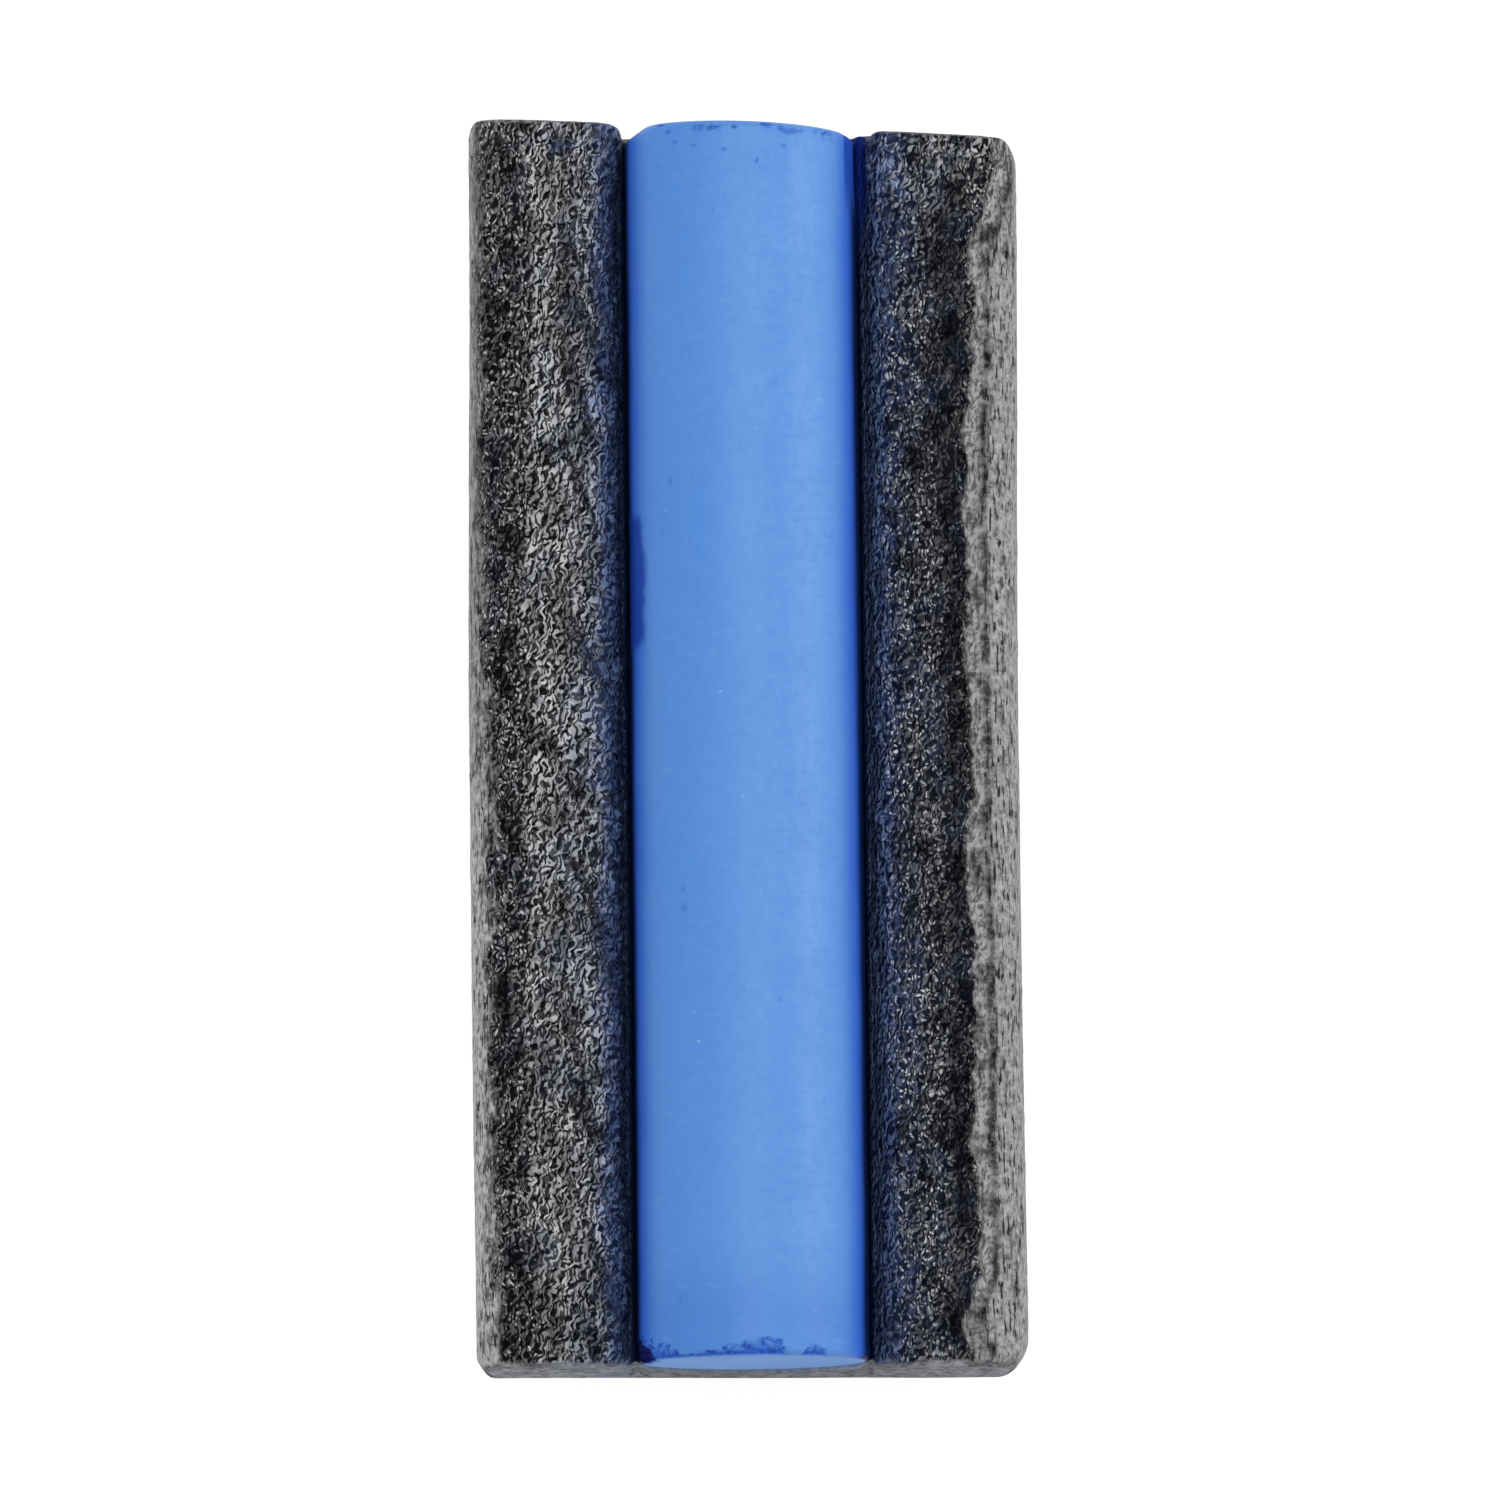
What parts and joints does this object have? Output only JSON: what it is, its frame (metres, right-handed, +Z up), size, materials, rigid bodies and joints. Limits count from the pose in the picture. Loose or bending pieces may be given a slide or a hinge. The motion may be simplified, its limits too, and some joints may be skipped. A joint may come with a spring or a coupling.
{
  "type": "chalk stick in foam holder",
  "caption": "Round blue chalk stick pressed into the groove of a black foam bar that holds it, cut to the stick's length, for marking and for keeping fingers clean.",
  "frame": {"origin": "on the underside of the foam holder, in the middle of the object's box", "axes": "+Y along the stick towards its slanted end, +Z up from the surface that the holder lies on, +X to the right seen from the square end"},
  "size_m": [0.0288, 0.065, 0.017],
  "materials": {
    "blue_chalk": "matte",
    "black_foam": "matte"
  },
  "bodies": {
    "root": {"chalk_stick": "blue_chalk", "foam_holder": "black_foam"}
  },
  "joints": []
}
